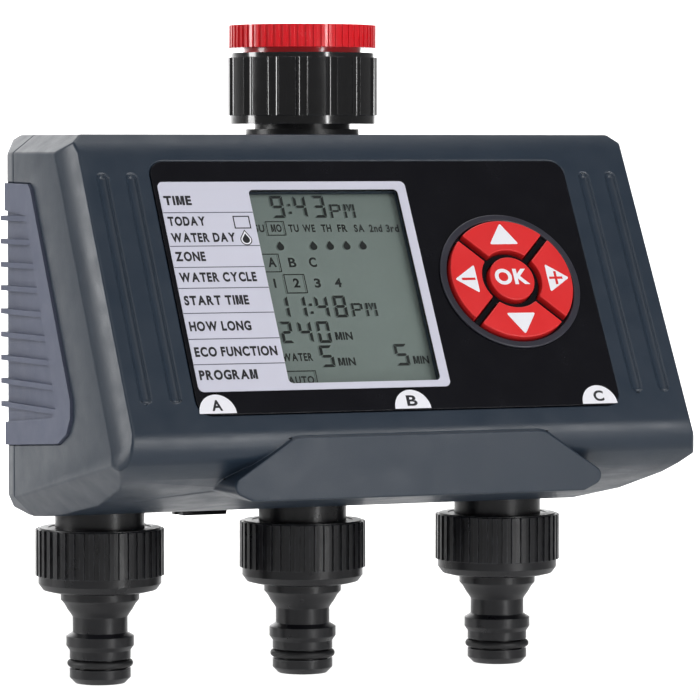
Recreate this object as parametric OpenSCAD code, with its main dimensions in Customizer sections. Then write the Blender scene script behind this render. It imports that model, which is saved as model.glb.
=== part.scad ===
// Three-outlet irrigation controller: screws onto a garden tap and hangs from it.
// Origin: centre of the tap thread's mouth. +Z up, the sloping face looks towards -Y.

/* [Body] */
// Half width over the side walls
body_half = 78.3; // [70:0.1:90]
// Half width of the sloping face
face_half = 74.5; // [66:0.1:86]
// Level of the flat top
top_z = -28.4; // [-34:0.1:-26]
// Level of the underside at the parting line
under_z = -125.8; // [-132:0.1:-120]
// Lean of the face from upright
face_tilt = 30; // [20:0.5:40]
// Forward position of the face plane at its top line
face_y = -36; // [-42:0.1:-30]
// Height of the face plane's top line
face_z = -31.95; // [-38:0.05:-30]
// Parting line between the housings
seam_y = 2.7; // [0:0.1:6]
// Wall thickness of both housings
wall = 2.5; // [1.8:0.1:3.5]

/* [Fascia] */
// Left edge of the black panel
panel_left = -57; // [-60:0.1:-50]
// Right edge of the black panel
panel_right = 56.4; // [50:0.1:60]
// Top edge of the panel, measured up the face
panel_top = -3.7; // [-8:0.1:-2]
// Bottom edge of the panel, measured up the face
panel_bottom = -74; // [-78:0.1:-70]
// Thickness of the panel
panel_t = 1.1; // [0.6:0.1:2]
// Left edge of the display window
window_left = -32; // [-38:0.1:-26]
// Right edge of the display window
window_right = 8.4; // [4:0.1:14]
// Top edge of the display window
window_top = -12; // [-16:0.1:-9]
// Bottom edge of the display window
window_bottom = -66; // [-68:0.1:-60]

/* [Keypad] */
// Keypad centre across the face
keypad_x = 33.6; // [30:0.1:36]
// Keypad centre up the face
keypad_v = -38.8; // [-44:0.1:-34]
// Radius over the four arc buttons
button_r = 16.6; // [14:0.1:17.5]
// Radius of the middle button
ok_r = 6.1; // [5:0.1:7]
// Gap between neighbouring buttons
button_gap = 2; // [1.4:0.1:3]
// Press travel
button_travel = 0.8; // [0.4:0.1:1]

/* [Water] */
// Distance between neighbouring outlets
outlet_pitch = 56.2; // [50:0.1:62]
// Radius of the smooth outlet neck
neck_r = 11.475; // [10.5:0.025:12]
// Radius over the outlet thread
thread_r = 13.1; // [12.6:0.05:13.6]
// Level of the outlet thread's end
spigot_end_z = -140.9; // [-144:0.1:-138]
// Radius of the connector's latching ridge
ridge_r = 8.7; // [8.5:0.05:9]
// Width of the latching ridge
ridge_h = 2.4; // [1.8:0.1:2.6]
// Radius of the connector's land
land_r = 7.85; // [7.5:0.05:8.2]
// Height of the gallery tube
gallery_z = -62; // [-64:0.5:-58]
// Height of the valve axes
valve_z = -84; // [-88:0.5:-82]

/* [Inlet] */
// Radius of the large inlet thread
inlet_thread_r = 16.5; // [16:0.05:17]
// Bore of the tap thread
tap_bore_r = 12.06; // [11.5:0.01:12.5]

/* [Battery] */
// Middle of the battery bay across the body
battery_x = -17; // [-20:0.5:-10]
// Battery cell radius
cell_r = 7.1; // [7:0.05:7.25]
// Battery cell length
cell_len = 50.5; // [49:0.1:51]

/* [Hidden] */
$fn = 48;
button_foot = 0.9;
button_rise = 2;
eps = 0.01;
run = 0.05;
slip = 0.3;
nut_r = thread_r + 3.4;
ring_red_r = inlet_thread_r + 2.65;
collar_r = inlet_thread_r + 3.2;
ring_r = button_r + 2.4;
outlets = [-outlet_pitch, 0, outlet_pitch];
tap_depth = 15;
ridge_z = -159.2;
belly_y = -76.9;
collar_bottom_z = -25.6;
cell_pitch = 2 * cell_r + 1.2;
cell_mid_z = -86;
bay_half = 2 * cell_pitch + 1.7;
bay_top = cell_mid_z + cell_len / 2 + 4.25;
bay_bottom = cell_mid_z - cell_len / 2 - 4.25;
bay_front = 12;
rear_y = bay_front + 2 * cell_r + 4.2;
bay_rear = rear_y - 3.4;
door_y = rear_y - 2;
hinge_y = rear_y - 1.8;
hinge_z = bay_top - 1;
latch_y = rear_y + 1.5;
latch_z = bay_bottom + 6;
latch_half = 7.1;
latch_bottom = -129.3;
cell_y = bay_front + 1.3 + cell_r + 0.1;
mat_t = 0.8;
mat_d = wall + button_foot + button_travel + 0.2 + mat_t;
board_d = mat_d + 3.8;
board_t = 1.6;
function on_slope(z) = [face_y - (face_z - z) * tan(face_tilt), z];
outline = [
  [-74.2, -107.7],
  [-68.2, -111.6],
  [-62.2, -114.2],
  [-42, -119.7],
  [-15, under_z + 1.5],
  [seam_y, under_z],
  [7, under_z],
  [rear_y, -121],
  [rear_y, -40],
  [14, top_z],
  [-32, top_z],
  on_slope(-32.8),
  on_slope(-99.7),
  [-75.7, -101.9],
  [-75.9, -103.8],
  [-75.4, -105.8]
];

// ---- helpers ----
function left_of(u) = [-u[1], u[0]];
function unit(v) = v / norm(v);
function inset_point(p, i, d) =
  let (n = len(p))
  let (u = left_of(unit(p[i] - p[(i + n - 1) % n])))
  let (v = left_of(unit(p[(i + 1) % n] - p[i])))
  p[i] + d * (u + v) / (1 + u * v);
function inset(p, d) = [for (i = [0 : len(p) - 1]) inset_point(p, i, d)];

module along_x(half) {
  rotate([90, 0, 90]) translate([0, 0, -half]) linear_extrude(2 * half) children();
}

module on_face(depth) {
  translate([0, face_y, face_z]) rotate([-face_tilt, 0, 0]) translate([0, depth, 0]) children();
}

// Plate lying on the face: its inner side is at depth, its outer side depth - t
module face_plate(depth, t) {
  on_face(depth) rotate([90, 0, 0]) linear_extrude(t) children();
}

module face_box(x0, x1, v0, v1) {
  translate([x0, v0]) square([x1 - x0, v1 - v0]);
}

module rounded_box(x0, x1, v0, v1, r) {
  face_box(x0 + r, x1 - r, v0, v1);
  face_box(x0, x1, v0 + r, v1 - r);
  for (x = [x0 + r, x1 - r]) for (v = [v0 + r, v1 - r]) translate([x, v]) circle(r);
}

// Everything to the right of the line a-b, moved inwards by d
module beyond(a, b, d) {
  u = unit(b - a);
  q = a + d * left_of(u) - 15 * u;
  r = b + d * left_of(u) + 15 * u;
  polygon([q, [q[0] + 40, q[1]], [r[0] + 40, r[1]], r]);
}

module edge_cuts(d) {
  for (m = [0, 1]) mirror([m, 0, 0]) {
    on_face(0) translate([0, 0, -85]) linear_extrude(105)
      beyond([face_half, 0], [body_half, 6.7], d);
    translate([0, 0, -135]) linear_extrude(40)
      beyond([face_half, -76.9], [body_half, -70.2], d);
    translate([0, 60, top_z]) mirror([0, 0, 1]) rotate([90, 0, 0]) linear_extrude(130)
      beyond([72.5, 0], [body_half, 4.6], d);
    translate([0, -62.2, -114.2]) rotate([-10.1, 0, 0]) translate([0, 70, 0])
      rotate([90, 0, 0]) linear_extrude(100) beyond([73.5, 0], [body_half, 4.8], d);
    translate([0, 60, under_z]) rotate([90, 0, 0]) linear_extrude(60 - seam_y)
      beyond([body_half - 5.4, 0], [body_half, 5.2], d);
    translate([0, rear_y, -140]) mirror([0, 1, 0]) linear_extrude(130)
      beyond([66.6, 0], [body_half, 23], d);
  }
}

module body_block(d) {
  difference() {
    along_x(body_half - d) polygon(inset(outline, d));
    edge_cuts(d);
  }
}

// Flat boss over the lower nose, with rounded corners
module belly() {
  difference() {
    translate([0, belly_y + 20, 0]) rotate([90, 0, 0]) linear_extrude(20) hull()
      for (side = [-1, 1]) {
        translate([side * 31.6, -107.6]) circle(6);
        translate([side * 46.6, -113.2]) circle(2.4);
        translate([side * 44, -115.2]) circle(1.7);
      }
    translate([0, 4, 0]) body_block(0);
  }
}

module pipe_holes() {
  for (x = outlets) translate([x, 0, -135]) cylinder(h = 40, r = neck_r + slip);
  translate([0, 0, top_z - 10]) cylinder(h = 20, r = 12.4 + slip);
}

module grip_shape() {
  polygon([
    [7.6, -40.7], [7.6, -107.6], [-33, -104.8], [-39.5, -102], [-42.4, -98], [-42.4, -93.6],
    [-12.6, -42.2], [-10.8, -40.9]
  ]);
}

module grip_pockets() {
  for (m = [0, 1]) mirror([m, 0, 0])
    translate([body_half - 1, 0, 0]) rotate([90, 0, 90]) linear_extrude(5) grip_shape();
}

module fastener(head_r, head_h, shank_r, shank_len) {
  difference() {
    cylinder(h = head_h, r = head_r);
    translate([0, 0, head_h - 1]) cylinder(h = 2, r = head_r * 0.45, $fn = 6);
  }
  translate([0, 0, -shank_len]) cylinder(h = shank_len + eps, r = shank_r);
}

// Housing screws enter from the rear, at these places; their heads sit at screw_seat_y
screw_seat_y = 12;
housing_screw_at = [
  [12.5 - face_half, -46], [6.7 - body_half, -103], [face_half - 12.5, -46],
  [body_half - 6.7, -103], [-20, -46], [20, -46]
];

module screw_sites() {
  for (p = housing_screw_at) translate([p[0], 0, p[1]]) rotate([-90, 0, 0]) children();
}

// Screw posts from y0 to y1, with webs to the nearest wall
module screw_posts(y0, y1) {
  for (p = housing_screw_at) translate([p[0], y0, p[1]]) {
    rotate([-90, 0, 0]) cylinder(h = y1 - y0, r = 3.8);
    if (p[1] > -80) translate([-1.25, 0, 0]) cube([2.5, y1 - y0, top_z - 1 - p[1]]);
    if (p[1] < -80) translate([p[0] > 0 ? 0 : -6, 0, -1.25]) cube([6, y1 - y0, 2.5]);
  }
}

board_corner = [[-57, -12], [57, -12], [-57, -71], [57, -71]];

module board_sites(depth) {
  on_face(depth) for (p = board_corner) translate([p[0], 0, p[1]]) rotate([-90, 0, 0]) children();
}

module button_shape(turn, grow) {
  a = (button_gap - 2 * grow) / sqrt(2);
  translate([keypad_x, keypad_v]) rotate(turn) intersection() {
    difference() {
      circle(button_r + grow);
      circle(ok_r + button_gap - grow);
    }
    polygon([[a, 0], [a + 30, 30], [a + 30, -30]]);
  }
}

module ok_shape(grow) {
  translate([keypad_x, keypad_v]) circle(ok_r + grow);
}

module button_holes() {
  for (t = [0 : 90 : 270]) button_shape(t, slip);
  ok_shape(slip);
}

// ---- housings ----
module front_housing() {
  color("#323e48") difference() {
    union() {
      difference() {
        intersection() {
          body_block(0);
          translate([-100, seam_y - 120, -140]) cube([200, 120, 130]);
        }
        body_block(wall);
      }
      belly();
      intersection() {
        screw_posts(-12, seam_y);
        body_block(0);
      }
      intersection() {
        board_sites(wall - 1) cylinder(h = board_d - wall + 1, r = 3);
        body_block(0);
      }
    }
    face_plate(0.9, 6) rounded_box(panel_left, panel_right, panel_bottom, panel_top, 4);
    face_plate(wall + 1, 6) face_box(window_left, window_right, window_bottom, window_top);
    face_plate(wall + 1, 6) button_holes();
    pipe_holes();
    grip_pockets();
    translate([0, seam_y - 16, 0]) screw_sites() cylinder(h = 17, r = 1.5);
    board_sites(wall) cylinder(h = board_d, r = 1.1);
    face_flutes();
  }
}

module face_flutes() {
  for (x = [-69.6, -62, 61.9, 69.4]) on_face(-0.9) translate([x, 0, 0]) {
    translate([0, 0, -69]) cylinder(h = 60.5, r = 1.7);
    translate([0, 0, -69]) sphere(1.7);
    translate([0, 0, -8.5]) sphere(1.7);
  }
}

module rear_housing() {
  color("#2f3a44") difference() {
    union() {
      difference() {
        intersection() {
          body_block(0);
          translate([-100, seam_y, -140]) cube([200, 120, 130]);
        }
        body_block(wall);
      }
      intersection() {
        screw_posts(seam_y, rear_y);
        body_block(0);
      }
      for (s = [-1, 1]) translate([32 * s, 12, gallery_z + 16]) rotate([-90, 0, 0])
        cylinder(h = rear_y - 12 - 1, r = 3.6);
      for (s = [-1, 1])
        translate([battery_x + s * (bay_half + 2.3) - 1.8, rear_y - 5.4, hinge_z - 3.5])
          cube([3.6, 4.9, 6]);
    }
    translate([0, screw_seat_y, 0]) screw_sites() cylinder(h = 40, r = 3.1);
    translate([0, seam_y - 1, 0]) screw_sites() cylinder(h = 40, r = 1.6);
    for (s = [-1, 1]) translate([32 * s, 11, gallery_z + 16]) rotate([-90, 0, 0])
      cylinder(h = 12, r = 1.2);
    translate([battery_x - bay_half - 0.5, 20, bay_bottom - 0.5])
      cube([2 * bay_half + 1, 30, bay_top - bay_bottom + 2.7]);
    translate([battery_x - bay_half - 3.5, hinge_y, hinge_z]) rotate([0, 90, 0])
      cylinder(h = 2 * bay_half + 7, r = 1 + run);
    pipe_holes();
    grip_pockets();
    gasket_ring(0.02);
  }
}

// Cord seal lying in a groove of the rear housing's rim, interrupted at the pipes
module gasket_ring(grow) {
  difference() {
    intersection() {
      difference() {
        body_block(0.9 - grow);
        body_block(1.7 + grow);
      }
      translate([-100, seam_y, -140]) cube([200, 0.8 + grow, 130]);
    }
    for (x = outlets) translate([x, 0, -135]) cylinder(h = 40, r = neck_r + 1.2 - grow);
    translate([0, 0, -50]) cylinder(h = 40, r = 13.6 - grow);
    translate([body_half - 3, -5, -109]) cube([10, 20, 70]);
    translate([-body_half - 7, -5, -109]) cube([10, 20, 70]);
  }
}

module housing_gasket() {
  color("#1c1c1e") gasket_ring(0);
}

module housing_screws() {
  color("#b8bcc0") translate([0, screw_seat_y, 0]) screw_sites() fastener(2.9, 2, 1.45, 20);
}

module side_grip() {
  color("#555a70") difference() {
    translate([body_half - 1, 0, 0]) rotate([90, 0, 90]) linear_extrude(1.7) grip_shape();
    translate([body_half - 0.1, 0, 0]) rotate([90, 0, 90]) linear_extrude(3) polygon([
      [9, -47.6], [9, -101.8], [-28.5, -98.6], [-31.6, -96.4], [-31.2, -94],
      [-8.9, -48.8]
    ]);
  }
  color("#555a70") for (i = [0 : 8]) {
    z = -49.6 - 5.92 * i;
    front = -9.8 - 0.5 * (-z - 49);
    translate([body_half, 0, z - 0.65]) linear_extrude(1.3) polygon([
      [-0.2, 7.6], [1.7, 7.6], [2, 7], [2, 2], [0.6, front + 0.6], [-0.2, front + 0.6]
    ]);
  }
}

module left_grip() {
  mirror([1, 0, 0]) side_grip();
}

module right_grip() {
  side_grip();
}

// ---- fascia and display ----
module fascia_panel() {
  color("#16161b") difference() {
    face_plate(0.9, panel_t)
      rounded_box(panel_left + 0.1, panel_right - 0.1, panel_bottom + 0.1, panel_top - 0.1, 3.9);
    face_plate(3, 6) face_box(window_left, window_right, window_bottom, window_top);
    face_plate(3, 6) button_holes();
  }
}

module display_label() {
  color("#d4d4e2") face_plate(0.9 - panel_t, 0.15) difference() {
    rounded_box(-55.8, 10.8, -67.8, -9.7, 1.5);
    rounded_box(window_left, window_right, window_bottom, window_top, 1.2);
  }
}

module display_window() {
  color("#9fb0aa") face_plate(0.9, 1.2)
    rounded_box(window_left + 0.1, window_right - 0.1, window_bottom + 0.1, window_top - 0.1, 1.2);
}

module display_holder() {
  color("#e8e8e4") difference() {
    face_plate(board_d - 0.1, board_d - wall - 0.15)
      face_box(window_left - 3, window_right + 3, window_bottom - 3, window_top + 2);
    face_plate(board_d, 10)
      face_box(window_left - 0.8, window_right + 0.8, window_bottom - 0.8, window_top + 0.8);
  }
}

module display_glass() {
  color("#707a76") face_plate(5, 2.3)
    face_box(window_left - 0.6, window_right + 0.6, window_bottom - 0.6, window_top + 0.6);
}

module display_backlight() {
  color("#f2f2ea") face_plate(8, 2.9)
    face_box(window_left - 0.6, window_right + 0.6, window_bottom + 4, window_top + 0.6);
}

module display_connector() {
  color("#d87a9a") face_plate(board_d - 0.1, 3.8)
    face_box(window_left + 2, window_right - 2, window_bottom - 0.4, window_bottom + 2.6);
}

// ---- keypad ----
module keypad_ring() {
  color("#2c2c33") face_plate(0.9 - panel_t, 0.7) translate([keypad_x, keypad_v]) difference() {
    circle(ring_r);
    circle(button_r + 0.6);
  }
}

module keypad_mat() {
  skirt_d = mat_d - 0.7;
  color("#3a3a3e") face_plate(mat_d, mat_t) translate([keypad_x, keypad_v]) circle(ring_r - 0.4);
  color("#3a3a3e") face_plate(skirt_d, skirt_d - wall) translate([keypad_x, keypad_v]) difference() {
    circle(ring_r - 0.4);
    circle(ring_r - 1);
  }
}

module button_body(turn) {
  face_plate(wall + button_foot, wall + button_foot + button_rise) button_shape(turn, 0);
  face_plate(wall + button_foot, 0.8) button_shape(turn, 0.7);
}

module button_up() {
  color("#dc2d2d") button_body(90);
}

module button_down() {
  color("#dc2d2d") button_body(270);
}

module button_left() {
  color("#dc2d2d") button_body(180);
}

module button_right() {
  color("#dc2d2d") button_body(0);
}

module button_ok() {
  color("#dc2d2d") face_plate(wall + button_foot, wall + button_foot + button_rise) ok_shape(0);
  color("#dc2d2d") face_plate(wall + button_foot, 0.8) ok_shape(0.7);
}

// ---- electronics ----
switch_at = [[0, 0], [12.3, 0], [-12.3, 0], [0, 12.3], [0, -12.3]];

module circuit_board() {
  color("#1f6b3a") difference() {
    face_plate(board_d + board_t, board_t) rounded_box(-61, 61, -75, -8, 2);
    board_sites(board_d - 2) cylinder(h = 8, r = 1.4);
  }
}

module tact_switches() {
  color("#8a8a8e") for (p = switch_at) {
    face_plate(board_d, 3) translate([keypad_x + p[0] - 3, keypad_v + p[1] - 3]) square(6);
    face_plate(board_d - 2.9, 0.6) translate([keypad_x + p[0], keypad_v + p[1]]) circle(1.7);
  }
}

module board_components() {
  back = board_d + board_t;
  color("#26262a") face_plate(back + 1.6, 1.6) face_box(-20, -6, -34, -20);
  color("#26262a") face_plate(back + 1.4, 1.4) face_box(14, 20, -30, -22);
  color("#3b4a7a") for (x = [36, 46]) face_plate(back + 7, 7) translate([x, -18]) circle(3.2);
  color("#c9b26a") face_plate(back + 3.2, 3.2) face_box(-44, -33, -21, -17);
  color("#e6e2d4") face_plate(back + 5.5, 5.5) face_box(-50, -30, -66, -60);
  color("#e6e2d4") face_plate(back + 5.5, 5.5) face_box(28, 48, -66, -60);
  color("#26262a") for (x = [-28, -20, -12]) face_plate(back + 1.2, 1.2) face_box(x, x + 4, -48, -43);
}

module board_screws() {
  color("#b8bcc0") board_sites(board_d + board_t) fastener(2.4, 1.6, 1, 6);
}

// ---- water way ----
module valve_sites(y) {
  for (x = outlets) translate([x, y, valve_z]) rotate([90, 0, 0]) children();
}

// Round valve flange with four screw lugs
module flange_shape() {
  circle(15);
  for (a = [45 : 90 : 315]) rotate(a) translate([15.4, 0]) circle(2.6);
}

module valve_screw_sites(x, y) {
  translate([x, y, valve_z]) rotate([90, 0, 0])
    for (a = [45 : 90 : 315]) rotate(a) translate([15.4, 0, 0]) children();
}

module manifold() {
  color("#26282c") difference() {
    union() {
      translate([0, 0, gallery_z]) cylinder(h = -21 - gallery_z, r = 11);
      translate([0, 0, top_z - 4]) cylinder(h = -21 - top_z + 4, r = 12.4);
      translate([0, 0, -23.2]) cylinder(h = 2.2, r = 14.6);
      translate([0, 0, top_z]) cylinder(h = 1.5, r = 14.7);
      translate([-67, -8, gallery_z]) rotate([0, 90, 0]) cylinder(h = 134, r = 10);
      valve_sites(-6) linear_extrude(12) flange_shape();
      for (x = outlets) {
        translate([x, 0, -130]) cylinder(h = 130 - 74, r = neck_r);
        translate([x, 0, spigot_end_z]) cylinder(h = -129 - spigot_end_z, r = thread_r);
      }
      for (s = [-1, 1]) translate([32 * s - 5, -2, gallery_z + 2]) cube([10, 14 - eps, 19]);
    }
    translate([0, -8, gallery_z]) rotate([0, 90, 0])
      translate([0, 0, -64.5]) cylinder(h = 129, r = 7.5);
    translate([0, -1.5, gallery_z - 5]) cylinder(h = 60, r = 5.5);
    translate([0, 0, -54]) cylinder(h = 40, r = 8.5);
    valve_sites(-12) difference() {
      cylinder(h = 8, r = 12.5);
      translate([0, 0, -1]) cylinder(h = 10, r = 6.5);
    }
    valve_sites(0) cylinder(h = 20, r = 4);
    for (x = outlets) {
      translate([x, 0, -150]) cylinder(h = 70, r = 7);
      translate([x, -14.2, valve_z + 8]) cylinder(h = gallery_z - valve_z - 8, r = 1.7);
      valve_screw_sites(x, -7) cylinder(h = 14, r = 1.05);
    }
    for (s = [-1, 1]) translate([32 * s, 0, gallery_z + 16]) rotate([-90, 0, 0])
      cylinder(h = 20, r = 1.6);
    for (s = [-1, 1]) translate([32 * s, -20, gallery_z + 16]) rotate([-90, 0, 0])
      cylinder(h = 28.5, r = 3.2);
  }
}

module manifold_screws() {
  color("#b8bcc0") for (s = [-1, 1]) translate([32 * s, 8.5, gallery_z + 16])
    rotate([90, 0, 0]) fastener(2.9, 2, 1.15, 13);
}

module diaphragms() {
  color("#2a2a2c") valve_sites(-18) linear_extrude(1.5) difference() {
    circle(15);
    for (a = [45 : 90 : 315]) rotate(a) translate([15.4, 0]) circle(1.6);
  }
}

module bonnet(x) {
  color("#3b3e44") difference() {
    translate([x, -19.5, valve_z]) rotate([90, 0, 0]) {
      linear_extrude(3) flange_shape();
      cylinder(h = 24, r = 5.2);
    }
    translate([x, -18.5, valve_z]) rotate([90, 0, 0]) cylinder(h = 23, r = 3.6);
    valve_screw_sites(x, -18.5) cylinder(h = 6, r = 1.3);
  }
}

module bonnet_a() {
  bonnet(outlets[0]);
}

module bonnet_b() {
  bonnet(outlets[1]);
}

module bonnet_c() {
  bonnet(outlets[2]);
}

module bonnet_screws() {
  color("#b8bcc0") for (x = outlets) valve_screw_sites(x, -22.5) fastener(2.3, 1.8, 1, 11);
}

module coil(x) {
  color("#a8642e") translate([x, -24, valve_z]) rotate([90, 0, 0]) difference() {
    union() {
      cylinder(h = 18, r = 9.5);
      cylinder(h = 1.5, r = 11);
      translate([0, 0, 16.5]) cylinder(h = 1.5, r = 11);
    }
    translate([0, 0, -1]) cylinder(h = 20, r = 5.3);
  }
}

module coil_a() {
  coil(outlets[0]);
}

module coil_b() {
  coil(outlets[1]);
}

module coil_c() {
  coil(outlets[2]);
}

module plunger(x) {
  color("#c4c8cc") translate([x, -19.8, valve_z]) rotate([90, 0, 0]) difference() {
    cylinder(h = 15, r = 3.6 - run);
    translate([0, 0, 9]) cylinder(h = 8, r = 2.3);
  }
}

module plunger_a() {
  plunger(outlets[0]);
}

module plunger_b() {
  plunger(outlets[1]);
}

module plunger_c() {
  plunger(outlets[2]);
}

module plunger_spring(x) {
  color("#d0d4d8") translate([x, -28.8, valve_z]) rotate([90, 0, 0]) difference() {
    cylinder(h = 11, r = 2.2);
    translate([0, 0, -1]) cylinder(h = 13, r = 1.6);
  }
}

module plunger_spring_a() {
  plunger_spring(outlets[0]);
}

module plunger_spring_b() {
  plunger_spring(outlets[1]);
}

module plunger_spring_c() {
  plunger_spring(outlets[2]);
}

// ---- inlet ----
module inlet_collar() {
  color("#0d0d0f") difference() {
    union() {
      translate([0, 0, -8.4]) cylinder(h = 1.2, r = collar_r - 1);
      translate([0, 0, -23.4]) linear_extrude(15) difference() {
        circle(collar_r);
        for (a = [0 : 22.5 : 359]) rotate(a) translate([collar_r + 1.1, 0]) circle(2);
      }
      translate([0, 0, collar_bottom_z]) cylinder(h = 2.2, r = collar_r - 0.7);
    }
    translate([0, 0, -23.6]) cylinder(h = 20, r = 14.9);
    translate([0, 0, -19.2]) cylinder(h = 20, r = inlet_thread_r + run);
    translate([0, 0, -30]) cylinder(h = 20, r = 12.4 + run);
  }
}

module inlet_adapter() {
  color("#e11e28") difference() {
    union() {
      translate([0, 0, -5.9]) linear_extrude(5.9) union() {
        circle(ring_red_r - 0.45);
        for (a = [0 : 6 : 354]) rotate(a) translate([ring_red_r - 1, -0.5]) square([1, 1]);
      }
      translate([0, 0, -7.6]) cylinder(h = 2, r = inlet_thread_r - 1.2);
      translate([0, 0, -19]) cylinder(h = 11.6, r = inlet_thread_r);
    }
    translate([0, 0, -tap_depth]) cylinder(h = 20, r = tap_bore_r);
    translate([0, 0, -tap_depth - 1.1]) cylinder(h = 5, r = tap_bore_r - 0.9);
    translate([0, 0, -20]) cylinder(h = 10, r = 9);
  }
}

module inlet_washer() {
  color("#1c1c1e") translate([0, 0, -21]) difference() {
    cylinder(h = 2 - eps, r = 14.3);
    translate([0, 0, -1]) cylinder(h = 4, r = 9);
  }
}

module inlet_filter() {
  color("#d8dce0") difference() {
    union() {
      translate([0, 0, -tap_depth - 1.05]) cylinder(h = 0.9, r = tap_bore_r - 1);
      translate([0, 0, -18]) cylinder(h = 18 - tap_depth - 0.5, r = 7);
    }
    translate([0, 0, -17.3]) cylinder(h = 5, r = 6.3);
  }
}

// ---- outlets ----
module outlet_connector(x) {
  color("#1f1f24") translate([x, 0, 0]) difference() {
    union() {
      translate([0, 0, -141.1]) linear_extrude(11.9) union() {
        circle(nut_r - 0.55);
        for (a = [0 : 9 : 351]) rotate(a) translate([nut_r - 1.2, -0.65]) square([1.2, 1.3]);
      }
      translate([0, 0, -129.4]) cylinder(h = 0.6, r = nut_r - 1);
      rotate_extrude() polygon([
        [0, -141], [nut_r - 0.7, -141], [nut_r - 0.7, -143.2], [nut_r - 1.9, -144.8],
        [nut_r - 3.9, -145.3], [10.1, -145.4],
        [10.1, -147.4], [9.2, -148.4], [8.3, -150], [7.5, -151.1], [7.07, -151.8],
        [7.07, -155.8], [ridge_r, ridge_z + ridge_h], [ridge_r, ridge_z],
        [land_r, -160.4], [land_r, -162.5],
        [6.55, -162.5], [6.55, -165.1], [land_r, -165.1], [land_r, -167.4], [6.4, -168.9],
        [0, -168.9]
      ]);
    }
    translate([0, 0, -143.5]) cylinder(h = 20, r = thread_r + run);
    translate([0, 0, -170]) cylinder(h = 40, r = 4.6);
  }
}

module outlet_connector_a() {
  outlet_connector(outlets[0]);
}

module outlet_connector_b() {
  outlet_connector(outlets[1]);
}

module outlet_connector_c() {
  outlet_connector(outlets[2]);
}

module outlet_washers() {
  color("#151517") for (x = outlets) translate([x, 0, -143.2]) difference() {
    cylinder(h = 2.3, r = thread_r - 0.5);
    translate([0, 0, -1]) cylinder(h = 5, r = 7.5);
  }
}

module o_ring(x) {
  color("#101012") translate([x, 0, -163.8]) rotate_extrude() translate([7.5, 0]) circle(0.94);
}

module o_ring_a() {
  o_ring(outlets[0]);
}

module o_ring_b() {
  o_ring(outlets[1]);
}

module o_ring_c() {
  o_ring(outlets[2]);
}

// ---- battery bay ----
module battery_holder() {
  color("#202226") difference() {
    translate([battery_x - bay_half, bay_front, bay_bottom])
      cube([2 * bay_half, bay_rear - bay_front, bay_top - bay_bottom]);
    translate([battery_x - bay_half + 1.2, bay_front + 1.3, bay_bottom + 1.3])
      cube([2 * bay_half - 2.4, 20, bay_top - bay_bottom - 2.6]);
  }
}

module cell_sites() {
  for (i = [0 : 3]) translate([battery_x + (i - 1.5) * cell_pitch, cell_y, cell_mid_z])
    rotate([0, 180 * (i % 2), 0]) children();
}

module battery_cells() {
  color("#4a6a8a") cell_sites() {
    translate([0, 0, -cell_len / 2]) cylinder(h = cell_len - 1, r = cell_r);
    translate([0, 0, cell_len / 2 - 1 - eps]) cylinder(h = 1 + eps, r = 2.7);
  }
}

module battery_contacts() {
  room = (bay_top - bay_bottom - 2.6 - cell_len) / 2;
  color("#c8ccd0") cell_sites() {
    translate([-4.5, -5, cell_len / 2]) cube([9, 10, room]);
    translate([-5, -5, -cell_len / 2 - room]) cube([10, 10, 0.5]);
    translate([0, 0, -cell_len / 2 - room]) cylinder(h = room, r = 3);
  }
}

module battery_door() {
  color("#303b45") difference() {
    union() {
      translate([battery_x - bay_half, door_y, bay_bottom])
        cube([2 * bay_half, rear_y - door_y, hinge_z - bay_bottom]);
      translate([battery_x - bay_half, hinge_y, hinge_z]) rotate([0, 90, 0])
        cylinder(h = 2 * bay_half, r = 1.2);
      translate([battery_x - bay_half - 1.5, hinge_y, hinge_z]) rotate([0, 90, 0])
        cylinder(h = 2 * bay_half + 3, r = 1);
      for (s = [-1, 1]) translate([battery_x + s * (latch_half + 1.4) - 1, rear_y - 0.2, latch_z - 2])
        cube([2, 3.2, 4]);
    }
    for (i = [0 : 6]) translate([battery_x - 20, rear_y, hinge_z - 8.5 - 4 * i])
      cube([40, 1, 1.4], center = true);
    translate([battery_x - 12, latch_y, latch_z]) rotate([0, 90, 0])
      cylinder(h = 24, r = 0.8 + run);
  }
}

module battery_door_seal() {
  color("#1c1c1e") difference() {
    translate([battery_x - bay_half + 0.2, door_y - 1.1, bay_bottom + 0.2])
      cube([2 * bay_half - 0.4, 1.1, hinge_z - bay_bottom - 2]);
    translate([battery_x - bay_half + 1.6, door_y - 2, bay_bottom + 1.6])
      cube([2 * bay_half - 3.2, 4, hinge_z - bay_bottom - 4.8]);
  }
}

module battery_latch() {
  color("#141416") {
    difference() {
      union() {
        translate([battery_x - latch_half, rear_y + 0.4, latch_bottom])
          cube([2 * latch_half, 2.2, latch_z - latch_bottom]);
        translate([battery_x - latch_half, latch_y, latch_z]) rotate([0, 90, 0])
          cylinder(h = 2 * latch_half, r = 1.1);
        translate([battery_x, rear_y - 3.4, 0]) rotate([-90, 0, 0]) linear_extrude(6)
          polygon([
            [-latch_half, 122.6], [latch_half, 122.6], [latch_half - 0.9, -latch_bottom],
            [0.9 - latch_half, -latch_bottom]
          ]);
      }
    }
    translate([battery_x - latch_half - 2.2, latch_y, latch_z]) rotate([0, 90, 0])
      cylinder(h = 2 * latch_half + 4.4, r = 0.8);
  }
}

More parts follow.
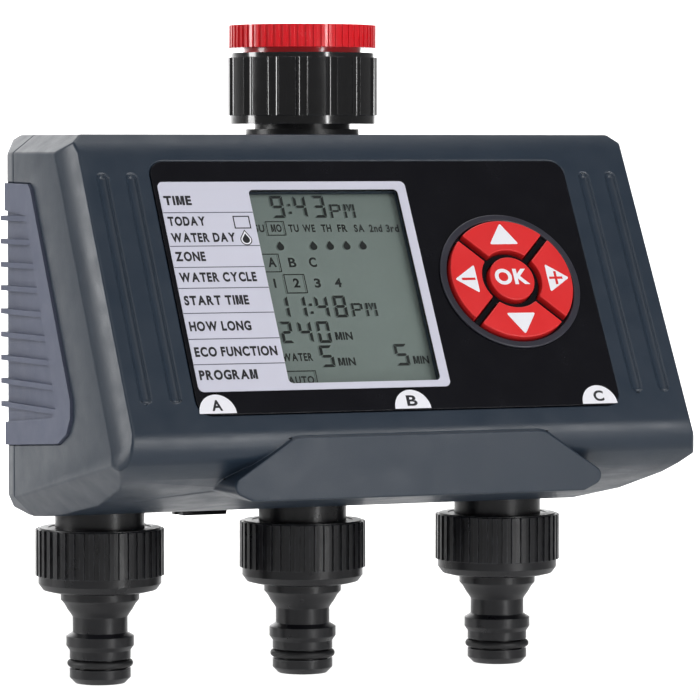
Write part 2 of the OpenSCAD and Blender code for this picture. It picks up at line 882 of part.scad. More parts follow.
front_housing();
rear_housing();
housing_gasket();
housing_screws();
left_grip();
right_grip();
fascia_panel();
display_label();
display_window();
display_holder();
display_glass();
display_backlight();
display_connector();
keypad_ring();
keypad_mat();
button_up();
button_down();
button_left();
button_right();
button_ok();
circuit_board();
board_components();
tact_switches();
board_screws();
manifold();
manifold_screws();
diaphragms();
bonnet_a();
bonnet_b();
bonnet_c();
bonnet_screws();
coil_a();
coil_b();
coil_c();
plunger_a();
plunger_b();
plunger_c();
plunger_spring_a();
plunger_spring_b();
plunger_spring_c();
inlet_collar();
inlet_adapter();
inlet_washer();
inlet_filter();
outlet_connector_a();
outlet_connector_b();
outlet_connector_c();
outlet_washers();
o_ring_a();
o_ring_b();
o_ring_c();
battery_holder();
battery_contacts();
battery_cells();
battery_door();
battery_door_seal();
battery_latch();
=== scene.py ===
import bpy
import math
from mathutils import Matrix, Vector


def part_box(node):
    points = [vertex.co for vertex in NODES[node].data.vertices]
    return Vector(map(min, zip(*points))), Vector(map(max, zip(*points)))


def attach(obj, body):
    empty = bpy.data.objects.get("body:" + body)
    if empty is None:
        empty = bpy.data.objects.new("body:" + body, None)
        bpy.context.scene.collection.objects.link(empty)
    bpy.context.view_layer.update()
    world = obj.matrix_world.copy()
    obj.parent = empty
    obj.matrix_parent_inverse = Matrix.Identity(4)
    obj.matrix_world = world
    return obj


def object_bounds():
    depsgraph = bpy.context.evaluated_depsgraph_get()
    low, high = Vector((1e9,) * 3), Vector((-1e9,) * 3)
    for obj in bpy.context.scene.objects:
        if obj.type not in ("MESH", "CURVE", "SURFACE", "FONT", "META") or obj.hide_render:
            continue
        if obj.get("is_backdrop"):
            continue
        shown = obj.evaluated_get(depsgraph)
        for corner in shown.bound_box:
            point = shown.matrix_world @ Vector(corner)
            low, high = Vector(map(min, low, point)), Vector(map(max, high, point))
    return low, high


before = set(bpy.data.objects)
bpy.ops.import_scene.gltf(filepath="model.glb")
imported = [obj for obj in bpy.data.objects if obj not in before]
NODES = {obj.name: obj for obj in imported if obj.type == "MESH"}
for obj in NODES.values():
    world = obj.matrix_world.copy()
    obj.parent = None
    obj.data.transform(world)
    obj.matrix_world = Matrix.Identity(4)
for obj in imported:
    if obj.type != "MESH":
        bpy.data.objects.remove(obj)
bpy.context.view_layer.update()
MM = 0.001


def add(obj):
    bpy.context.scene.collection.objects.link(obj)
    return obj


# ---------------------------------------------------------------- face frame
# x runs across the sloping face, v up along it from its top edge, h out of it. All in millimetres.
FACE_TILT = math.radians(30)
ACROSS = Vector((1, 0, 0))
UP_FACE = Vector((0, math.sin(FACE_TILT), math.cos(FACE_TILT)))
OUTWARD = Vector((0, -math.cos(FACE_TILT), math.sin(FACE_TILT)))
LABEL_MID_V = -38.75
LABEL_MID_H = 0.275


def centre(node):
    lo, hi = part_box(node)
    return (Vector(lo) + Vector(hi)) / 2


FACE = centre("display_label") - UP_FACE * (LABEL_MID_V * MM) - OUTWARD * (LABEL_MID_H * MM)
FACE.x = 0


def on_face(x, v, h):
    return FACE + ACROSS * (x * MM) + UP_FACE * (v * MM) + OUTWARD * (h * MM)


# ---------------------------------------------------------------- materials
WHITE = 255
MOTTLE_SCALE, SMEAR_SCALE = 38, 150
DUST_SCALE, DUST_LIFT = 110, 70
WEAR_SCALE, WEAR_LIFT, WEAR_RADIUS = 420, 60, 0.0006
GRAIN_SCALE, COARSE_GRAIN, GRAIN_DEPTH = 2500, 2600, 0.0001
COAT_ROUGHNESS = 0.08


def linear(rgb):
    """An sRGB colour of 0 to 255, as the linear values that the shader takes."""
    out = []
    for c in rgb:
        c = c / WHITE
        out.append(c / 12.92 if c <= 0.04045 else ((c + 0.055) / 1.055) ** 2.4)
    return (*out, 1.0)


def lifted(rgb, by):
    return [min(WHITE, c + by) for c in rgb]


def scaled(color, k):
    return (*[min(1.0, c * k) for c in color[:3]], 1.0)


class Shader:
    """A material built from nodes."""

    def __init__(self, name):
        self.material = bpy.data.materials.new(name)
        self.material.use_nodes = True
        self.tree = self.material.node_tree
        self.tree.nodes.clear()
        self.out = self.tree.nodes.new("ShaderNodeOutputMaterial")
        self.bsdf = self.tree.nodes.new("ShaderNodeBsdfPrincipled")
        self.tree.links.new(self.bsdf.outputs[0], self.out.inputs["Surface"])
        self.coords = self.tree.nodes.new("ShaderNodeTexCoord").outputs["Object"]

    def node(self, kind, inputs=None, **props):
        made = self.tree.nodes.new(kind)
        for key, value in props.items():
            setattr(made, key, value)
        for key, value in (inputs or {}).items():
            self.feed(made.inputs[key], value)
        return made

    def feed(self, socket, value):
        if isinstance(value, bpy.types.NodeSocket):
            self.tree.links.new(value, socket)
        else:
            socket.default_value = value

    def noise(self, scale, detail=3.0, rough=0.55, stretch=None):
        vector = self.coords
        if stretch:
            vector = self.node("ShaderNodeMapping", {"Vector": vector, "Scale": stretch}).outputs[0]
        inputs = {"Vector": vector, "Scale": scale, "Detail": detail, "Roughness": rough}
        return self.node("ShaderNodeTexNoise", inputs).outputs["Fac"]

    def spread(self, value, low, high, start=0.3, end=0.7):
        """The value's stretch from start to end, moved to low to high."""
        inputs = {"Value": value, "From Min": start, "From Max": end, "To Min": low, "To Max": high}
        return self.node("ShaderNodeMapRange", inputs).outputs[0]

    def mix(self, factor, a, b):
        """Colour a to colour b. A Mix node's colours are inputs 6 and 7 and output 2."""
        made = self.node("ShaderNodeMix", data_type="RGBA")
        self.feed(made.inputs[0], factor)
        self.feed(made.inputs[6], a)
        self.feed(made.inputs[7], b)
        return made.outputs[2]

    def times(self, a, b):
        return self.node("ShaderNodeMath", {0: a, 1: b}, operation="MULTIPLY").outputs[0]

    def edges(self, radius):
        """1 on sharp edges, 0 elsewhere."""
        bevel = self.node("ShaderNodeBevel", {"Radius": radius}, samples=4).outputs[0]
        normal = self.node("ShaderNodeNewGeometry").outputs["Normal"]
        dot = self.node("ShaderNodeVectorMath", {0: bevel, 1: normal}, operation="DOT_PRODUCT")
        return self.spread(dot.outputs["Value"], 1.0, 0.0, start=0.82, end=0.995)


def surface(name, rgb, rough, metal=0.0, vary=0.08, rough_vary=0.06, grain=0.1,
            grain_scale=GRAIN_SCALE, coat=0.0, specular=0.5, wear=0.0, wear_rgb=None, dust=0.0,
            brushed=None):
    """Procedural finish: mottled colour, dust, worn edges, uneven gloss and fine grain."""
    s = Shader(name)
    base = linear(rgb)
    mottle = s.spread(s.noise(MOTTLE_SCALE), 0, 1)
    color = s.mix(mottle, scaled(base, 1 - vary), scaled(base, 1 + vary))
    if dust:
        patch = s.spread(s.noise(DUST_SCALE, 5), 0.0, dust, start=0.55, end=0.8)
        color = s.mix(patch, color, linear(lifted(rgb, DUST_LIFT)))
    if wear:
        rub = s.edges(WEAR_RADIUS)
        broken = s.spread(s.noise(WEAR_SCALE, 4), 0.0, 1.0, start=0.42, end=0.6)
        amount = s.times(s.times(rub, broken), wear)
        color = s.mix(amount, color, linear(wear_rgb or lifted(rgb, WEAR_LIFT)))
    s.feed(s.bsdf.inputs["Base Color"], color)
    smear = s.noise(SMEAR_SCALE, 4, stretch=brushed)
    s.feed(s.bsdf.inputs["Roughness"], s.spread(smear, rough - rough_vary, rough + rough_vary))
    s.feed(s.bsdf.inputs["Metallic"], metal)
    s.feed(s.bsdf.inputs["Specular IOR Level"], specular)
    if coat:
        s.feed(s.bsdf.inputs["Coat Weight"], coat)
        s.feed(s.bsdf.inputs["Coat Roughness"], COAT_ROUGHNESS)
    if grain:
        fine = s.noise(grain_scale, 2, 0.6, stretch=brushed)
        bump = {"Strength": grain, "Distance": GRAIN_DEPTH, "Height": fine}
        s.feed(s.bsdf.inputs["Normal"], s.node("ShaderNodeBump", bump).outputs[0])
    return s.material


def clear_lens():
    s = Shader("lens clear")
    s.feed(s.bsdf.inputs["Base Color"], (0.93, 0.96, 0.94, 1))
    s.feed(s.bsdf.inputs["Roughness"], s.spread(s.noise(220, 4), 0.02, 0.05))
    s.feed(s.bsdf.inputs["Transmission Weight"], 1.0)
    s.feed(s.bsdf.inputs["IOR"], 1.05)
    s.feed(s.bsdf.inputs["Alpha"], 0.12)
    return s.material


MATERIALS = {
    "housing": surface("housing plastic", (38, 49, 62), 0.36, vary=0.03, grain=0.3, specular=0.42,
                       grain_scale=COARSE_GRAIN, wear=0.12, dust=0.015),
    "grip": surface("grip rubber", (80, 86, 106), 0.55, vary=0.04, grain=0.3,
                    grain_scale=COARSE_GRAIN, wear=0.1, dust=0.02),
    "fascia": surface("fascia black", (16, 16, 21), 0.24, vary=0.1, rough_vary=0.04, grain=0.03,
                      specular=0.22, wear=0.2),
    "label": surface("label film", (208, 208, 222), 0.42, vary=0.012, grain=0.06, specular=0.3),
    "ink": surface("black ink", (22, 22, 28), 0.45, vary=0.1, grain=0.05),
    "line": surface("grey ink", (88, 90, 104), 0.45, vary=0.1, grain=0.05),
    "white": surface("white ink", (240, 240, 246), 0.45, vary=0.02, grain=0.05),
    "lcd": surface("display glass", (114, 125, 121), 0.4, vary=0.008, grain=0.02, specular=0.2),
    "segment": surface("display segment", (22, 27, 27), 0.4, vary=0.08, grain=0.02),
    # painted shadow that the display segments would cast on the glass
    "segment_shadow": surface("display shadow", (90, 100, 97), 0.4, vary=0.02, grain=0.02, specular=0.2),
    "ring": surface("ring plastic", (46, 46, 56), 0.34, vary=0.06, grain=0.08, wear=0.3),
    "button": surface("button red", (222, 40, 42), 0.4, vary=0.03, grain=0.06, wear=0.1,
                      specular=0.4, wear_rgb=(240, 110, 100)),
    "adapter": surface("adapter red", (220, 22, 34), 0.22, vary=0.05, grain=0.08, coat=0.4,
                       wear=0.2),
    "collar": surface("collar black", (12, 12, 14), 0.16, vary=0.1, rough_vary=0.03, grain=0.04,
                      coat=0.8, wear=0.3, wear_rgb=(80, 82, 90)),
    "nylon": surface("black nylon", (17, 17, 21), 0.32, vary=0.1, grain=0.15, wear=0.3,
                     wear_rgb=(90, 92, 98)),
    "seal": surface("seal rubber", (20, 20, 22), 0.55, vary=0.1, grain=0.2, wear=0.3),
    "steel": surface("zinc steel", (190, 192, 196), 0.3, metal=1.0, vary=0.08, grain=0.2,
                     brushed=(1, 1, 8), wear=0.3),
    "board": surface("solder mask", (24, 92, 48), 0.35, vary=0.08, grain=0.1),
    "chip": surface("chip moulding", (34, 34, 38), 0.5, vary=0.1, grain=0.2),
    "pale": surface("pale plastic", (226, 226, 218), 0.45, vary=0.03, grain=0.1),
    "pink": surface("striped rubber", (200, 120, 150), 0.5, vary=0.1, grain=0.1),
    "coil": surface("coil tape", (150, 92, 44), 0.4, vary=0.1, grain=0.2),
    "cell": surface("cell sleeve", (60, 92, 128), 0.3, vary=0.06, grain=0.05, coat=0.3),
    "lens": clear_lens(),
}

NODE_FINISH = {
    "front_housing": "housing", "rear_housing": "housing", "battery_door": "housing",
    "housing_gasket": "seal", "housing_screws": "steel", "left_grip": "grip",
    "right_grip": "grip", "fascia_panel": "fascia", "display_label": "label",
    "display_window": "lens", "display_holder": "pale", "display_glass": "lcd",
    "display_backlight": "pale", "display_connector": "pink", "keypad_ring": "ring",
    "keypad_mat": "seal", "circuit_board": "board", "board_components": "chip",
    "tact_switches": "steel", "board_screws": "steel", "manifold": "nylon",
    "manifold_screws": "steel", "diaphragms": "seal", "bonnet_screws": "steel",
    "inlet_collar": "collar", "inlet_adapter": "adapter", "inlet_washer": "seal",
    "inlet_filter": "steel", "outlet_washers": "seal", "battery_holder": "nylon",
    "battery_contacts": "steel", "battery_cells": "cell", "battery_door_seal": "seal",
    "battery_latch": "nylon",
}
GROUP_FINISH = {
    "button_": "button", "bonnet_": "nylon", "coil_": "coil", "plunger_": "steel",
    "outlet_connector_": "nylon", "o_ring_": "seal",
}


def finish_of(node):
    groups = (finish for start, finish in GROUP_FINISH.items() if node.startswith(start))
    return NODE_FINISH.get(node) or next(groups)


def paint(obj, finish):
    obj.data.materials.clear()
    obj.data.materials.append(MATERIALS[finish])


for node, obj in NODES.items():
    paint(obj, finish_of(node))

# ---------------------------------------------------------------- softened CAD edges
WELD_GAP = 0.000002
FLAT_ANGLE = math.radians(0.4)
EDGE_ANGLE = math.radians(24)
SHELL_EDGE_ANGLE = math.radians(34)
SHELLS = ("front_housing", "rear_housing")
SOFT_EDGES = {
    0.5: (*SHELLS, "button_up", "button_down", "button_left", "button_right", "button_ok"),
    0.45: ("left_grip", "right_grip"),
    0.4: ("battery_door", "battery_latch"),
    0.35: ("inlet_collar",),
    0.3: ("keypad_ring", "outlet_connector_a", "outlet_connector_b", "outlet_connector_c"),
    0.25: ("fascia_panel", "inlet_adapter"),
}


def soften(node, width):
    """Rounds a CAD node's edges with modifiers. A clamped bevel would be too thin on the shells."""
    shell = node in SHELLS
    weld = NODES[node].modifiers.new("weld", "WELD")
    weld.merge_threshold = WELD_GAP
    flat = NODES[node].modifiers.new("flat", "DECIMATE")
    flat.decimate_type = "DISSOLVE"
    flat.angle_limit = FLAT_ANGLE
    bevel = NODES[node].modifiers.new("bevel", "BEVEL")
    bevel.width = width * MM
    bevel.segments = 3
    bevel.limit_method = "ANGLE"
    bevel.angle_limit = SHELL_EDGE_ANGLE if shell else EDGE_ANGLE
    bevel.harden_normals = False
    bevel.use_clamp_overlap = not shell
    smooth = NODES[node].modifiers.new("normals", "WEIGHTED_NORMAL")
    smooth.keep_sharp = False
    smooth.weight = 80


for width, nodes in SOFT_EDGES.items():
    for node in nodes:
        soften(node, width)

# ---------------------------------------------------------------- flat shapes on the face
LABEL_H = 0.37
CORNER_STEPS = 5
DROP_STEPS = 20
DROP_SHOULDER, DROP_SWEEP = math.radians(35), math.radians(250)


def rider(name, mesh, finish, body):
    obj = add(bpy.data.objects.new(name.replace(" ", "_"), mesh))
    paint(obj, finish)
    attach(obj, body)


def polygons(name, loops, finish, body="housing", h=LABEL_H):
    """Flat polygons on the face. loops is a list of [(x, v), ...]."""
    verts, faces = [], []
    for loop in loops:
        start = len(verts)
        verts += [on_face(x, v, h) for x, v in loop]
        faces.append(list(range(start, start + len(loop))))
    mesh = bpy.data.meshes.new(name)
    mesh.from_pydata(verts, [], faces)
    mesh.validate()
    rider(name, mesh, finish, body)


def bar(x0, x1, v0, v1):
    return [(x0, v0), (x1, v0), (x1, v1), (x0, v1)]


def box_lines(x, v, w, t, line):
    """The four sides of a box w wide and t tall with its lower left corner at (x, v)."""
    return [
        bar(x, x + w, v, v + line),
        bar(x, x + w, v + t - line, v + t),
        bar(x, x + line, v + line, v + t - line),
        bar(x + w - line, x + w, v + line, v + t - line),
    ]


def drop(x, v, w, t):
    """A water drop w wide and t tall standing on v, centred on x."""
    r = w / 2
    loop = [(x, v + t)]
    for i in range(DROP_STEPS + 1):
        a = DROP_SHOULDER - DROP_SWEEP * i / DROP_STEPS
        loop.append((x + r * math.cos(a), v + r + r * math.sin(a)))
    return loop


def rounded(loop, radius):
    """The loop with each corner turned into a short curve."""
    out = []
    for i, corner in enumerate(loop):
        corner = Vector(corner)
        ends = [Vector(loop[i - 1]), Vector(loop[(i + 1) % len(loop)])]
        start, end = [corner + (e - corner).normalized() * radius for e in ends]
        for k in range(CORNER_STEPS + 1):
            t = k / CORNER_STEPS
            out.append(tuple(start * (1 - t) ** 2 + corner * 2 * t * (1 - t) + end * t ** 2))
    return out


# ---------------------------------------------------------------- lettering
# Cap height and stem of Blender's own font at size 1, then the word space and letter gap, as
# shares of the cap height. Past B_LIMIT the outline of a thickened B breaks.
CAPITAL, STEM, SPACE, GAP = 0.682, 0.098, 0.42, 0.12
B_LIMIT = 0.028
LABEL_BOLD, DISPLAY_BOLD, TAB_BOLD, OK_BOLD = 0.045, 0.035, 0.03, 0.04
GLYPHS = {}


def letter_m(stroke):
    """Outline of a capital M, one tall. The font's own M breaks when it is thickened."""
    wide, foot, deep = 0.92, 0.06, 0.66
    mid = wide / 2
    tip = stroke * 0.45
    slant = stroke * 1.3
    notch = 0.42 - stroke * 0.5
    return [
        (0, 0), (stroke, 0), (stroke, deep), (mid - tip, foot), (mid + tip, foot),
        (wide - stroke, deep), (wide - stroke, 0), (wide, 0), (wide, 1), (wide - slant, 1),
        (mid, notch), (slant, 1), (0, 1),
    ]


def outline_of(char, bold):
    """Points and faces of one character of the font, thickened by bold."""
    curve = bpy.data.curves.new("probe", "FONT")
    curve.body = char
    curve.size = 1
    curve.offset = bold
    probe = add(bpy.data.objects.new("probe", curve))
    bpy.context.view_layer.update()
    filled = probe.evaluated_get(bpy.context.evaluated_depsgraph_get())
    mesh = bpy.data.meshes.new_from_object(filled)
    points = [(p.co.x, p.co.y) for p in mesh.vertices]
    faces = [list(f.vertices) for f in mesh.polygons]
    bpy.data.objects.remove(probe)
    bpy.data.meshes.remove(mesh)
    return points, faces


def glyph(char, bold):
    """One character with its left at 0, its foot on 0 and its capitals 1 tall."""
    if char == "B":
        bold = min(bold, B_LIMIT)
    key = (char, bold)
    if key not in GLYPHS:
        if char == "M":
            points = letter_m((STEM + 2 * bold) / CAPITAL)
            faces = [list(range(len(points)))]
        else:
            points, faces = outline_of(char, bold)
            left = min(x for x, y in points)
            tall = CAPITAL + 2 * bold
            points = [((x - left) / tall, (y + bold) / tall) for x, y in points]
        GLYPHS[key] = points, faces, max(x for x, y in points)
    return GLYPHS[key]


def text(name, words, x, v, height, width, finish, body="housing", h=LABEL_H, bold=LABEL_BOLD):
    """Words whose capitals are height tall, squeezed to fit width, their left foot at (x, v)."""
    points, faces, along = [], [], 0.0
    for char in words:
        if char == " ":
            along += SPACE
            continue
        outline, loops, wide = glyph(char, bold)
        start = len(points)
        points += [(along + px, py) for px, py in outline]
        faces += [[start + i for i in loop] for loop in loops]
        along += wide + GAP
    squeeze = width / (along - GAP)
    mesh = bpy.data.meshes.new(name)
    verts = [on_face(x + px * squeeze, v + py * height, h) for px, py in points]
    mesh.from_pydata(verts, [], faces)
    mesh.validate()
    rider(name, mesh, finish, body)


# ---------------------------------------------------------------- label
LABEL_LEFT = -54.9
LABEL_LETTER = 1.15
ROWS = [
    # words, foot, height before LABEL_LETTER, width
    ("TIME", -16.3, 2.3, 7.2), ("TODAY", -22.1, 2.25, 9.8), ("WATER DAY", -26.7, 2.25, 16.9),
    ("ZONE", -32.0, 2.3, 7.9), ("WATER CYCLE", -37.8, 2.3, 20.2),
    ("START TIME", -44.2, 2.3, 16.9), ("HOW LONG", -51.3, 2.3, 16.1),
    ("ECO FUNCTION", -58.3, 2.3, 21.5), ("PROGRAM", -64.6, 2.3, 15.1),
]
ROW_LINES = (-18.4, -27.8, -33.7, -39.5, -46.4, -53.5, -60.4)
LINE_LEFT, LINE_RIGHT, LINE_HALF = -55.75, -32.05, 0.12
TODAY_BOX, TODAY_LINE = (-37.7, -23.0, 4.4, 3.6), 0.3
DROP_X = -35.3
DROP_LAYERS = (
    # name, foot, width, height, finish, rise over the label prints
    ("label drop ring", -27.7, 3.1, 4.4, "ink", 0), ("label drop gap", -27.45, 2.6, 3.7, "white", 0.015),
    ("label drop", -27.1, 1.9, 2.7, "ink", 0.03),
)

for words, foot, tall, wide in ROWS:
    text("label " + words.lower(), words, LABEL_LEFT, foot, tall * LABEL_LETTER, wide, "ink")
lines = [bar(LINE_LEFT, LINE_RIGHT, v - LINE_HALF, v + LINE_HALF) for v in ROW_LINES]
polygons("label lines", lines, "line")
polygons("label today box", box_lines(*TODAY_BOX, TODAY_LINE), "ink")
for name, foot, wide, tall, finish, rise in DROP_LAYERS:
    polygons(name, [drop(DROP_X, foot, wide, tall)], finish, h=LABEL_H + rise)

# ---------------------------------------------------------------- outlet tabs
TAB_FOOT, TAB_HALF, TAB_RISE, TAB_H = -73.6, 4.8, 5.1, 0.22
TAB_LETTER_FOOT, TAB_LETTER_TALL, TAB_LETTER_WIDE = -72.9, 2.9, 2.8
TAB_ANGLES = [math.radians(a) for a in range(0, 181, 6)]
TABS = (("a", -51.9), ("b", -0.6), ("c", 50.5))

for letter, x in TABS:
    dome = [(x + TAB_HALF * math.cos(a), TAB_FOOT + TAB_RISE * math.sin(a)) for a in TAB_ANGLES]
    polygons("outlet tab " + letter, [dome], "white", h=TAB_H)
    text("outlet letter " + letter, letter.upper(), x - TAB_LETTER_WIDE / 2, TAB_LETTER_FOOT,
         TAB_LETTER_TALL, TAB_LETTER_WIDE, "ink", h=TAB_H + 0.02, bold=TAB_BOLD)

# ---------------------------------------------------------------- liquid crystal read-outs
# All of them lie just over the display glass, below the window.
LCD_H = -2.66
STROKE, CUT = 0.75, 0.12
BOX_LINE = 0.24
SHADOW_LEFT, SHADOW_DOWN = 0.4, 0.1
SEGMENTS = {
    "0": "abcdef", "1": "bc", "2": "abged", "3": "abgcd", "4": "fgbc", "5": "afgcd",
    "8": "abcdefg", "9": "abcdfg",
}
DIGITS = (
    # digit, left, foot, width, height
    ("9", -25.4, -18.4, 3.4, 6.3), ("4", -19.2, -18.4, 3.2, 6.3), ("3", -14.1, -18.4, 3.2, 6.3),
    ("1", -29.6, -46.5, 3.2, 6.1), ("1", -25.0, -46.5, 3.2, 6.1), ("4", -19.2, -46.6, 3.3, 6.1),
    ("8", -14.3, -46.6, 3.3, 6.1), ("2", -29.9, -53.5, 3.0, 6.0), ("4", -25.1, -53.5, 3.4, 6.0),
    ("0", -20.2, -53.6, 3.3, 6.0), ("5", -20.8, -60.3, 3.4, 6.0), ("5", -0.8, -60.3, 3.5, 6.0),
)
COLONS = ((-20.9, -17.3), (-20.9, -45.5))
PM_MARKS = ((-9.7, -18.5, 3.9), (-9.7, -46.4, 3.7))
DAY_DROPS = (-25.2, -16.3, -11.8, -7.3, -2.9)
DAY_DROP_FOOT, DAY_DROP_WIDE, DAY_DROP_TALL = -27.6, 1.9, 2.6
DISPLAY_BOXES = (
    (-27.9, -23.4, 5.0, 4.1), (-31.0, -33.7, 4.8, 5.2), (-26.1, -39.7, 5.6, 5.4),
    (-31.6, -65.6, 8.6, 4.5),
)
DISPLAY_WORDS = (
    # height, then words, left, foot, width
    (2.15, (("SU", -31.2, -22.4, 2.7), ("MO", -26.7, -22.4, 2.8), ("TU", -22.0, -22.45, 2.7),
            ("WE", -18.2, -22.5, 3.3), ("TH", -13.2, -22.5, 2.7), ("FR", -8.8, -22.55, 2.6),
            ("SA", -4.3, -22.6, 2.7), ("2nd", -0.2, -22.65, 3.5), ("3rd", 4.4, -22.7, 3.5))),
    (2.7, (("A", -29.5, -32.3, 2.2), ("B", -24.0, -32.4, 2.0), ("C", -18.5, -32.4, 2.0))),
    (2.55, (("1", -29.1, -38.1, 0.55), ("2", -23.9, -38.1, 1.7), ("3", -18.3, -38.2, 1.7),
            ("4", -12.8, -38.2, 1.8))),
    (2.2, (("MIN", -15.8, -52.9, 4.6), ("WATER", -31.0, -58.5, 8.0), ("MIN", -16.5, -60.0, 4.6),
           ("MIN", 3.7, -59.95, 4.2))),
    (2.05, (("AUTO", -30.7, -64.7, 6.8),)),
)


def digit(value, x, v, w, t):
    """The lit segments of a digit w wide and t tall with its lower left corner at (x, v)."""
    s = STROKE
    right, top, mid = x + w, v + t, v + t / 2
    over, under = mid + s / 2, mid - s / 2
    shapes = {
        "a": [(x + CUT, top), (right - CUT, top), (right - s, top - s), (x + s, top - s)],
        "d": [(x + CUT, v), (right - CUT, v), (right - s, v + s), (x + s, v + s)],
        "g": [(x + s * 0.6, mid), (x + s, over), (right - s, over),
              (right - s * 0.6, mid), (right - s, under), (x + s, under)],
        "f": [(x, top - CUT), (x + s, top - s - CUT), (x + s, over + CUT), (x, mid + CUT)],
        "b": [(right, top - CUT), (right - s, top - s - CUT), (right - s, over + CUT),
              (right, mid + CUT)],
        "e": [(x, v + CUT), (x + s, v + s + CUT), (x + s, under - CUT), (x, mid - CUT)],
        "c": [(right, v + CUT), (right - s, v + s + CUT), (right - s, under - CUT),
              (right, mid - CUT)],
    }
    return [shapes[k] for k in SEGMENTS[value]]


def colon(x, v):
    dot, pitch = 0.7, 2.2
    return [bar(x, x + STROKE, foot, foot + dot) for foot in (v, v + pitch)]


def pm_mark(x, v, t):
    """The letters PM drawn with segments, t tall."""
    wide, s, gap, second = 2.9, 0.55, 0.1, 3.8
    corner_x, corner_v = 0.5, 0.2
    slant_wide, slant_half = 0.6, 0.3
    top, mid = v + t, v + t / 2
    right = x + wide
    shapes = [
        bar(x, x + s, v, mid - gap),
        bar(x, x + s, mid + gap, top),
        bar(x + s + gap, right - corner_x, top - s, top),
        bar(right - s, right, mid + gap, top - corner_v),
        bar(x + s + gap, right - s - gap, mid - s / 2, mid + s / 2),
    ]
    x += second
    right = x + wide
    for left in (x, right - s):
        shapes.append(bar(left, left + s, v, mid - gap))
        shapes.append(bar(left, left + s, mid + gap, top))
    middle = x + wide / 2
    for side, inward in ((x + s, 1), (right - s, -1)):
        start, end = side + inward * gap, side + inward * slant_wide
        shapes.append([(start, top), (end, top), (middle, mid + slant_half), (middle, mid - slant_half)])
    return shapes


shapes = []
for value, x, v, w, t in DIGITS:
    shapes += digit(value, x, v, w, t)
for x, v in COLONS:
    shapes += colon(x, v)
for x, v, t in PM_MARKS:
    shapes += pm_mark(x, v, t)
for x in DAY_DROPS:
    shapes.append(drop(x, DAY_DROP_FOOT, DAY_DROP_WIDE, DAY_DROP_TALL))
for x, v, w, t in DISPLAY_BOXES:
    shapes += box_lines(x, v, w, t, BOX_LINE)
# Painted shadow: a paler grey copy of each lit shape, shifted left and down, lies just under it on the
# glass.
shadows = [[(x - SHADOW_LEFT, v - SHADOW_DOWN) for x, v in loop] for loop in shapes]
polygons("display segments", shapes, "segment", h=LCD_H)
polygons("display shadows", shadows, "segment_shadow", h=LCD_H - 0.02)
for tall, row in DISPLAY_WORDS:
    for words, x, v, wide in row:
        text("display " + words.lower(), words, x, v, tall, wide, "segment", h=LCD_H + 0.01,
             bold=DISPLAY_BOLD)

# ---------------------------------------------------------------- button symbols
KEY_X, KEY_V = 33.6, -38.8
BUTTON_H = 2.02
SIGN_H = BUTTON_H + 0.02
ARROW_TIP, ARROW_FOOT, ARROW_HALF, ARROW_CORNER = 15.8, 9.8, 4.0, 0.7
SIGN_MID, SIGN_HALF, SIGN_LINE = 12.1, 1.85, 0.34
OK_LEFT, OK_FOOT, OK_TALL, OK_WIDE = -4.7, -1.7, 4.4, 9.3


def key_shape(name, loops, body, finish="white", h=BUTTON_H):
    """Polygons placed from the middle of the keypad."""
    polygons(name, [[(KEY_X + x, KEY_V + v) for x, v in loop] for loop in loops], finish, body, h)


ARROW = rounded([(ARROW_FOOT, -ARROW_HALF), (ARROW_FOOT, ARROW_HALF), (ARROW_TIP, 0)], ARROW_CORNER)
for side, c, s in (("right", 1, 0), ("up", 0, 1), ("left", -1, 0), ("down", 0, -1)):
    key_shape("symbol " + side, [[(x * c - v * s, x * s + v * c) for x, v in ARROW]], "button_" + side)
minus = bar(-SIGN_MID - SIGN_HALF, -SIGN_MID + SIGN_HALF, -SIGN_LINE, SIGN_LINE)
plus = [
    bar(SIGN_MID - SIGN_HALF, SIGN_MID + SIGN_HALF, -SIGN_LINE, SIGN_LINE),
    bar(SIGN_MID - SIGN_LINE, SIGN_MID + SIGN_LINE, -SIGN_HALF, -SIGN_LINE),
    bar(SIGN_MID - SIGN_LINE, SIGN_MID + SIGN_LINE, SIGN_LINE, SIGN_HALF),
]
key_shape("sign less", [minus], "button_left", "button", SIGN_H)
key_shape("sign more", plus, "button_right", "button", SIGN_H)
text("symbol ok", "OK", KEY_X + OK_LEFT, KEY_V + OK_FOOT, OK_TALL, OK_WIDE, "white", "button_ok",
     BUTTON_H, bold=OK_BOLD)

# ---------------------------------------------------------------- stage, in metres
FLOOR_BELOW, FLOOR_REACH, FLOOR_BEND, WALL_RISE = 0.10, 4, 3, 3
AIM = Vector((0, -0.02, -0.085))
WALL_AIM = (1.4, 3.6, -0.1)
LIGHTS = (
    # name, place, target, size, power
    ("left rim", (-1.08, 0.38, 0.29), AIM, (0.3, 0.7), 7),
    ("front key", (0.45, -1.15, 0.42), AIM, (0.8, 0.1), 5.5),
    ("front strip", (0.36, -1.15, -0.08), AIM, (0.08, 0.6), 2.6),
    ("high fill", (-0.5, -1.1, 0.9), AIM, (0.8, 0.5), 4),
    ("low front", (-0.1, -1.1, -0.5), AIM, (1.2, 0.3), 1.0),
    ("top", (0.1, 0.25, 0.95), AIM, (0.9, 0.5), 4),
    ("backdrop", (0.5, 1.6, 1.6), WALL_AIM, (1.6, 1.0), 110),
)
WORLD_LIGHT = 0.18
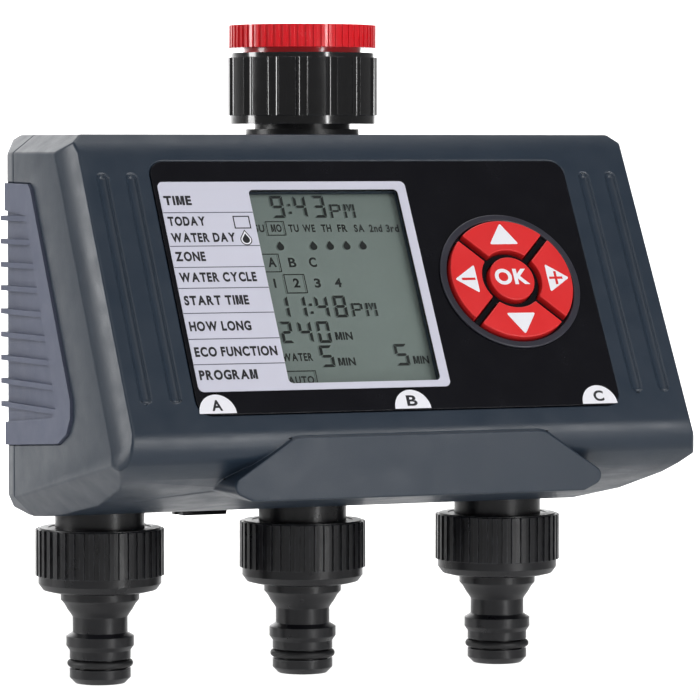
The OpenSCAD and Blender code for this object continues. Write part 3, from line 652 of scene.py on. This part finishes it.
CAMERA_PLACE = (-0.41555, -1.0079, -0.03195)
CAMERA_YAW, CAMERA_PITCH = math.radians(23.06), math.radians(2.76)
CAMERA_LENS, CAMERA_SENSOR, CAMERA_NEAR = 214.9, 36, 0.05


def face_along(obj, direction):
    obj.rotation_mode = "QUATERNION"
    obj.rotation_quaternion = direction.to_track_quat("-Z", "Y")


def backdrop():
    """A floor that bends up into a sloping wall."""
    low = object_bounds()[0].z - FLOOR_BELOW
    r = FLOOR_REACH
    verts = [(-r, -r, low), (r, -r, low), (r, FLOOR_BEND, low), (-r, FLOOR_BEND, low),
             (r, r, low + WALL_RISE), (-r, r, low + WALL_RISE)]
    mesh = bpy.data.meshes.new("floor")
    mesh.from_pydata(verts, [], [(0, 1, 2, 3), (3, 2, 4, 5)])
    mesh.materials.append(surface("floor paper", (246, 246, 246), 0.7, vary=0.005, grain=0.02))
    add(bpy.data.objects.new("floor", mesh))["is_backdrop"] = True


def softbox(name, place, target, size, power):
    light = bpy.data.lights.new(name, "AREA")
    light.shape = "RECTANGLE"
    light.size, light.size_y = size
    light.energy = power
    obj = add(bpy.data.objects.new(name, light))
    obj.location = place
    face_along(obj, Vector(target) - Vector(place))


def look_direction(yaw, pitch):
    level = math.cos(pitch)
    return Vector((math.sin(yaw) * level, math.cos(yaw) * level, -math.sin(pitch)))


backdrop()
for light in LIGHTS:
    softbox(*light)

scene = bpy.context.scene
scene.view_settings.view_transform = "Standard"
scene.world = bpy.data.worlds.new("studio")
scene.world.use_nodes = True
background = scene.world.node_tree.nodes["Background"]
background.inputs["Color"].default_value = (1, 1, 1, 1)
background.inputs["Strength"].default_value = WORLD_LIGHT

camera_data = bpy.data.cameras.new("camera")
camera_data.sensor_width = CAMERA_SENSOR
camera_data.lens = CAMERA_LENS
camera_data.clip_start = CAMERA_NEAR
camera = add(bpy.data.objects.new("camera", camera_data))
camera.location = CAMERA_PLACE
face_along(camera, look_direction(CAMERA_YAW, CAMERA_PITCH))
scene.camera = camera
